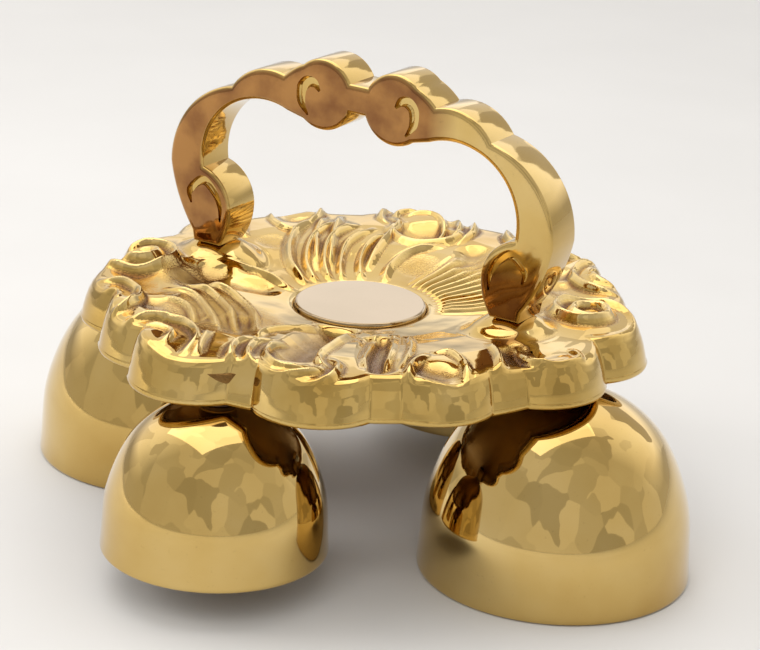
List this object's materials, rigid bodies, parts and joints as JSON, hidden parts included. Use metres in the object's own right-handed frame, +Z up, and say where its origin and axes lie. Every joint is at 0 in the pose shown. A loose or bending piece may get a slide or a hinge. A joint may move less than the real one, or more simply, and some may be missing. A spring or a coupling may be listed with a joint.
{
  "type": "sanctus bell",
  "caption": "Altar hand bell set: brass bells with loose clappers hung under a scrolled cast plate with an arched scroll handle.",
  "frame": {"origin": "on the table, under the centre of the plate, at the centre of the footprint", "axes": "+Z up; +X along the handle towards a large bell; +Y across the handle towards a small bell"},
  "size_m": [0.222, 0.207, 0.1389],
  "materials": {
    "cast_brass": "cast relief, polished on the high spots, granular in the hollows",
    "medallion_brass": "flat, mirror polished",
    "handle_brass": "polished",
    "bell_brass": "mirror polished outside, turned inside",
    "clapper_brass": "turned and polished",
    "steel": "bright zinc",
    "leather": "natural, cut edge"
  },
  "bodies": {
    "root": {"handle": "handle_brass", "handle_screws": "steel", "handle_washers": "steel", "large_left_bell": "bell_brass", "large_left_clamp_washer": "steel", "large_left_crown_leather": "leather", "large_left_crown_nut": "steel", "large_left_eyebolt": "steel", "large_right_bell": "bell_brass", "large_right_clamp_washer": "steel", "large_right_crown_leather": "leather", "large_right_crown_nut": "steel", "large_right_eyebolt": "steel", "medallion": "medallion_brass", "medallion_nut": "steel", "plate": "cast_brass", "small_back_bell": "bell_brass", "small_back_clamp_washer": "steel", "small_back_crown_leather": "leather", "small_back_crown_nut": "steel", "small_back_eyebolt": "steel", "small_front_bell": "bell_brass", "small_front_clamp_washer": "steel", "small_front_crown_leather": "leather", "small_front_crown_nut": "steel", "small_front_eyebolt": "steel"},
    "large_right_link": {"large_right_link": "steel"},
    "large_right_clapper": {"large_right_clapper_ball": "clapper_brass", "large_right_clapper_rod": "clapper_brass"},
    "small_back_link": {"small_back_link": "steel"},
    "small_back_clapper": {"small_back_clapper_ball": "clapper_brass", "small_back_clapper_rod": "clapper_brass"},
    "large_left_link": {"large_left_link": "steel"},
    "large_left_clapper": {"large_left_clapper_ball": "clapper_brass", "large_left_clapper_rod": "clapper_brass"},
    "small_front_link": {"small_front_link": "steel"},
    "small_front_clapper": {"small_front_clapper_ball": "clapper_brass", "small_front_clapper_rod": "clapper_brass"}
  },
  "joints": [
    {"name": "large_right_swing", "type": "hinge", "parent": "root", "child": "large_right_link", "pos_m": [0.071, 0, 0.0437], "axis": [0, 1, 0], "range_deg": [-53, 53]},
    {"name": "large_right_rock", "type": "hinge", "parent": "large_right_link", "child": "large_right_clapper", "pos_m": [0.071, 0, 0.0389], "axis": [-1, 0, 0], "range_deg": [-12, 12]},
    {"name": "small_back_swing", "type": "hinge", "parent": "root", "child": "small_back_link", "pos_m": [0, 0.071, 0.0437], "axis": [-1, 0, 0], "range_deg": [-58, 58]},
    {"name": "small_back_rock", "type": "hinge", "parent": "small_back_link", "child": "small_back_clapper", "pos_m": [0, 0.071, 0.0389], "axis": [0, -1, 0], "range_deg": [-12, 12]},
    {"name": "large_left_swing", "type": "hinge", "parent": "root", "child": "large_left_link", "pos_m": [-0.071, 0, 0.0437], "axis": [0, -1, 0], "range_deg": [-53, 53]},
    {"name": "large_left_rock", "type": "hinge", "parent": "large_left_link", "child": "large_left_clapper", "pos_m": [-0.071, 0, 0.0389], "axis": [1, 0, 0], "range_deg": [-12, 12]},
    {"name": "small_front_swing", "type": "hinge", "parent": "root", "child": "small_front_link", "pos_m": [0, -0.071, 0.0437], "axis": [1, 0, 0], "range_deg": [-58, 58]},
    {"name": "small_front_rock", "type": "hinge", "parent": "small_front_link", "child": "small_front_clapper", "pos_m": [0, -0.071, 0.0389], "axis": [0, 1, 0], "range_deg": [-12, 12]}
  ]
}
